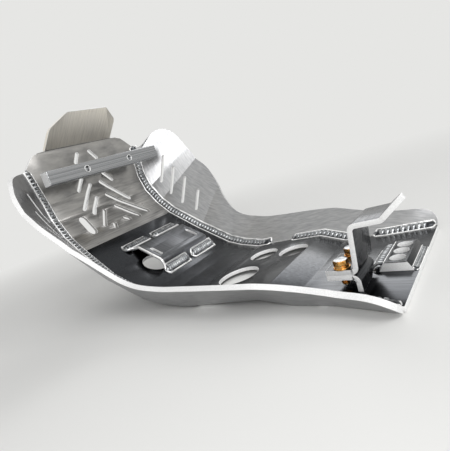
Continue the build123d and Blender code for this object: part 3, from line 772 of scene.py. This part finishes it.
class SKID_OT_brackets(bpy.types.Operator):
    """Dress the channel, the clamp straps, the rear block and the front bar."""
    bl_idname = "skid.brackets"
    bl_label = "Brackets and bar"

    def execute(self, context):
        mats = finishes()
        edge_mm = context.scene.skid_plate.edge_mm
        dressed("tunnel_bracket", "channel_strap", mats["channel"], mats["edge"],
                edge_mm=edge_mm)
        for node in ("lower_clamp", "upper_clamp"):
            dressed(node, node + "_strap", mats["strap"], mats["edge"], edge_mm=0.2)
        dressed("rear_block", "socket_block", mats["block"], mats["edge"],
                sides=3, edge_mm=0.3, sawn_and_highlit=lambda normal: abs(normal.z) < 0.2)
        dressed("front_bar", "clamp_bar", mats["bar"], mats["edge"],
                sides=1, edge_mm=0, sawn_and_highlit=lambda normal: abs(normal.y) > 0.9)
        # bright countersunk ring round each threaded hole, a cut chamfer whose white is partly a painted
        # highlight
        face_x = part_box("front_bar")[1][0]
        for y in BAR_HOLES_Y:
            ring = added(bpy.ops.mesh.primitive_torus_add, major_radius=4.6 * MM,
                         minor_radius=0.6 * MM, major_segments=40, minor_segments=8,
                         location=(face_x, y * MM, BAR_HOLE_Z * MM),
                         rotation=(0, math.radians(90), 0))
            ring.name = ring.data.name = "hole_ring"
            settle(ring)
            set_materials(ring, mats["toe"])
            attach(ring, "root")
        return {"FINISHED"}


class SKID_OT_welds(bpy.types.Operator):
    """Lay the rippled weld beads of the wings and their washed toes."""
    bl_idname = "skid.welds"
    bl_label = "Weld beads"

    def execute(self, context):
        mats = finishes()
        pitch = context.scene.skid_plate.ripple_mm
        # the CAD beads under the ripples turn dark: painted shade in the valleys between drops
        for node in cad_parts:
            if "weld" in node:
                set_materials(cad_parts[node], mats["valley"])
        for name, tops, side in WINGS:
            for where, span in INNER_BEADS:
                line = bead_line(span, tops, side, True)
                ripples("%s_%s_ripples" % (name, where), [line], JOINT_BEAD_R, pitch, mats["weld"],
                        proud_mm=1.0)
                # the white wash and painted highlight are widest up the front lobes
                wing_share = 1.5 if where == "front" else 1.0
                toe_cords("%s_%s_toes" % (name, where), [line], JOINT_BEAD_R, mats["toe"],
                          other_share=wing_share)
            line = bead_line(MIDDLE_BEAD, tops, side, False)
            ripples("%s_outer_ripples" % name, [line], OUTER_BEAD_R, pitch, mats["weld"],
                    proud_mm=0.3, fullness=1.0, width=0.9)
        return {"FINISHED"}


class SKID_OT_bracket_welds(bpy.types.Operator):
    """Lay the rippled beads of the channel and of the rear block, and lay a painted highlight cord on the
    channel's near rim.
    """
    bl_idname = "skid.bracket_welds"
    bl_label = "Bracket beads"

    def execute(self, context):
        mats = finishes()
        pitch = context.scene.skid_plate.ripple_mm
        # the floor's two slopes that the channel stands on, and the heights of its feet on them
        upper, bend, lower = SLOPE_FOLDS
        steep = Vector((upper[0] - bend[0], 0, bend[1] - upper[1]))
        easy = Vector((bend[0] - lower[0], 0, lower[1] - bend[1]))
        front_foot = upper[1] + steep.z * (upper[0] - CHANNEL_LEAD) / steep.x
        rear_foot = bend[1] + easy.z * (bend[0] - CHANNEL_FOOT) / easy.x
        face = Vector((CHANNEL_LEAD - CHANNEL_TOP[0], 0, CHANNEL_TOP[1] - front_foot))
        lines = [cross_line(CHANNEL_LEAD, front_foot, y0, y1, -steep, face) for y0, y1 in LEAD_BEADS]
        lines += [cross_line(CHANNEL_FOOT, rear_foot, y0, y1, easy, UP) for y0, y1 in FOOT_BEADS]
        ripples("channel_ripples", lines, CHANNEL_BEAD_R, pitch * CHANNEL_PITCH, mats["weld"],
                proud_mm=1.0)
        toe_cords("channel_toes", lines, CHANNEL_BEAD_R, mats["toe"], wire_mm=2.0, sunk_mm=0.3)
        rim_highlight_cord("channel_rim", CHANNEL_SECTION, CHANNEL_RIM_Y, CHANNEL_RIM_R, mats["toe"])

        y0, y1 = BLOCK_FRONT_BEAD
        lines = [cross_line(BLOCK_FRONT, FLOOR_TOP, y0, y1, FORWARD, BLOCK_FRONT_SIDE)]
        ripples("block_front_ripples", lines, BLOCK_FRONT_BEAD_R, BLOCK_FRONT_PITCH, mats["weld"],
                proud_mm=0.7, width=0.92)
        toe_cords("block_front_toes", lines, BLOCK_FRONT_BEAD_R, mats["toe"], wire_mm=1.0, sunk_mm=0.4)
        y0, y1 = BLOCK_REAR_BEAD
        lines = [cross_line(BLOCK_REAR, FLOOR_TOP, y0, y1, -FORWARD, BLOCK_REAR_SIDE)]
        ripples("block_rear_ripples", lines, BLOCK_REAR_BEAD_R, BLOCK_REAR_PITCH, mats["weld"],
                proud_mm=0.5)
        toe_cords("block_rear_toes", lines, BLOCK_REAR_BEAD_R, mats["toe"], wire_mm=0.8, sunk_mm=0.4)
        return {"FINISHED"}


class SKID_OT_fasteners(bpy.types.Operator):
    """Model the screws with their threads and dress the washers."""
    bl_idname = "skid.fasteners"
    bl_label = "Screws and washers"

    def execute(self, context):
        mats = finishes()
        low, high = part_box("front_bar_screws")
        under_head = low[0] / MM + BAR_HEAD_H
        to_rear = Matrix.Rotation(math.radians(90), 4, "Y")
        to_front = Matrix.Rotation(math.radians(-90), 4, "Y")
        parts = []
        for y in BAR_HOLES_Y:
            rod = thread(M8_R, (high[0] - low[0]) / MM - BAR_HEAD_H)
            parts.append(put(rod, under_head, y, BAR_HOLE_Z, to_rear))
            head = socket_head(BAR_HEAD_R, BAR_HEAD_H, BAR_KEY_FLATS, BAR_KEY_DEPTH)
            parts.append(put(head, under_head, y, BAR_HOLE_Z, to_front))
        piece = joined(parts, "bar_screws_threaded")
        smooth(piece, 30)
        set_materials(piece, mats["steel"])
        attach(piece, "root")
        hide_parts("front_bar_screws")

        low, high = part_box("clamp_screws")
        parts = []
        for y in CLAMP_BOLTS_Y:
            rod = thread(M8_R, (high[2] - low[2]) / MM - BOLT_HEAD_H)
            parts.append(put(rod, CLAMP_BOLT_X, y, low[2] / MM))
            head = hex_head(BOLT_FLATS, BOLT_HEAD_H)
            parts.append(put(head, CLAMP_BOLT_X, y, high[2] / MM - BOLT_HEAD_H))
        piece = joined(parts, "clamp_bolts_threaded")
        smooth(piece, 30)
        # the top faces of the heads are pale steel, the rest gold
        set_materials(piece, mats["gold"], mats["steel"])
        for face in piece.data.polygons:
            face.material_index = 1 if face.center.z > high[2] - 0.2 * MM else 0
        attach(piece, "root")
        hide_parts("clamp_screws")
        for node, name in (("clamp_washers", "plain_washers"), ("clamp_spring_washers", "spring_washers")):
            dressed(node, name, mats["gold"], mats["gold"], sides=4, edge_mm=0.2)
        return {"FINISHED"}


def seen_rays(tree):
    """1 for rays from the camera or off a mirror, the rays that see the room itself."""
    rays = add_node(tree, "ShaderNodeLightPath")
    seen = add_node(tree, "ShaderNodeMath", {"operation": "MAXIMUM"},
                    {0: rays.outputs["Is Camera Ray"], 1: rays.outputs["Is Glossy Ray"]})
    return rays, seen.outputs[0]


class SKID_OT_stage(bpy.types.Operator):
    """Floor, soft light and the photograph's camera."""
    bl_idname = "skid.stage"
    bl_label = "Stage"

    def execute(self, context):
        backdrop = linear(context.scene.skid_plate.floor_colour)
        ground = added(bpy.ops.mesh.primitive_plane_add, size=30.0, location=(0, 0, -0.3 * MM))
        ground.name = "studio_floor"
        with whole_mesh():
            bpy.ops.mesh.subdivide(number_cuts=6)
        settle(ground)
        # matt paper, which fades into the room's own tone away from the part so no horizon shows
        mat, tree, shader, place = new_material("matt_paper_floor", 0.0, 0.9)
        shader.inputs["Base Color"].default_value = backdrop
        far = add_node(tree, "ShaderNodeVectorMath", {"operation": "LENGTH"}, {0: place})
        fade = add_node(tree, "ShaderNodeMapRange",
                        {"From Min": FADE_FROM, "From Max": FADE_TO, "interpolation_type": "SMOOTHSTEP"},
                        {"Value": far.outputs["Value"]})
        glow = add_node(tree, "ShaderNodeEmission", {"Color": backdrop, "Strength": 1.0})
        _, seen = seen_rays(tree)
        share = add_node(tree, "ShaderNodeMath", {"operation": "MULTIPLY"}, {0: fade.outputs[0], 1: seen})
        mix = add_node(tree, "ShaderNodeMixShader",
                       links={0: share.outputs[0], 1: shader.outputs[0], 2: glow.outputs[0]})
        tree.links.new(mix.outputs[0], tree.nodes["Material Output"].inputs["Surface"])
        set_materials(ground, mat)

        # the room: paper to the eye and in the metal, a dimmer white as light
        world = bpy.data.worlds.new("studio")
        context.scene.world = world
        world.use_nodes = True
        tree = world.node_tree
        soft = tree.nodes["Background"]
        soft.inputs["Color"].default_value = (1, 1, 1, 1)
        soft.inputs["Strength"].default_value = ROOM_STRENGTH
        paper = add_node(tree, "ShaderNodeBackground", {"Color": backdrop, "Strength": 1.0})
        rays, seen = seen_rays(tree)
        seen = add_node(tree, "ShaderNodeMath", {"operation": "MAXIMUM"},
                        {0: seen, 1: rays.outputs["Is Transmission Ray"]})
        mix = add_node(tree, "ShaderNodeMixShader",
                       links={0: seen.outputs[0], 1: soft.outputs[0], 2: paper.outputs[0]})
        tree.links.new(mix.outputs[0], tree.nodes["World Output"].inputs["Surface"])

        for name, place, size, power in LIGHTS:
            lamp = added(bpy.ops.object.light_add, type="AREA", location=place)
            lamp.name = name
            lamp.data.shape = "DISK"
            lamp.data.size = size
            lamp.data.energy = power
            lamp.rotation_euler = (AIM - Vector(place)).to_track_quat("-Z", "Y").to_euler()

        back = CAMERA_BACK.normalized()
        up = back.cross(CAMERA_RIGHT).normalized()
        right = up.cross(back)
        camera = added(bpy.ops.object.camera_add, location=CAMERA_PLACE)
        turn = Matrix((right, up, back)).transposed().to_4x4()
        camera.matrix_world = Matrix.Translation(camera.location) @ turn
        camera.data.sensor_fit = "HORIZONTAL"
        camera.data.sensor_width = SENSOR_MM
        camera.data.lens = FOCAL_PX / PHOTO_WIDTH_PX * SENSOR_MM
        camera.data.clip_start = 0.01
        context.scene.camera = camera
        context.scene.view_settings.view_transform = "Standard"
        return {"FINISHED"}


STEPS = (
    SKID_OT_stage, SKID_OT_sheets, SKID_OT_brackets, SKID_OT_welds, SKID_OT_bracket_welds,
    SKID_OT_fasteners,
)


class SKID_PT_panel(bpy.types.Panel):
    bl_label = "Skid plate"
    bl_idname = "SKID_PT_panel"
    bl_space_type = "VIEW_3D"
    bl_region_type = "UI"
    bl_category = "Skid plate"

    def draw(self, context):
        looks = context.scene.skid_plate
        for name in PlateLooks.__annotations__:
            self.layout.prop(looks, name)
        for step in STEPS:
            self.layout.operator(step.bl_idname)


def register():
    bpy.utils.register_class(PlateLooks)
    for step in STEPS:
        bpy.utils.register_class(step)
    bpy.utils.register_class(SKID_PT_panel)
    bpy.types.Scene.skid_plate = bpy.props.PointerProperty(type=PlateLooks)


def unregister():
    del bpy.types.Scene.skid_plate
    bpy.utils.unregister_class(SKID_PT_panel)
    for step in reversed(STEPS):
        bpy.utils.unregister_class(step)
    bpy.utils.unregister_class(PlateLooks)


def main():
    register()
    bpy.ops.skid.stage()
    bpy.ops.skid.sheets()
    bpy.ops.skid.brackets()
    bpy.ops.skid.welds()
    bpy.ops.skid.bracket_welds()
    bpy.ops.skid.fasteners()


if __name__ == "__main__":
    main()
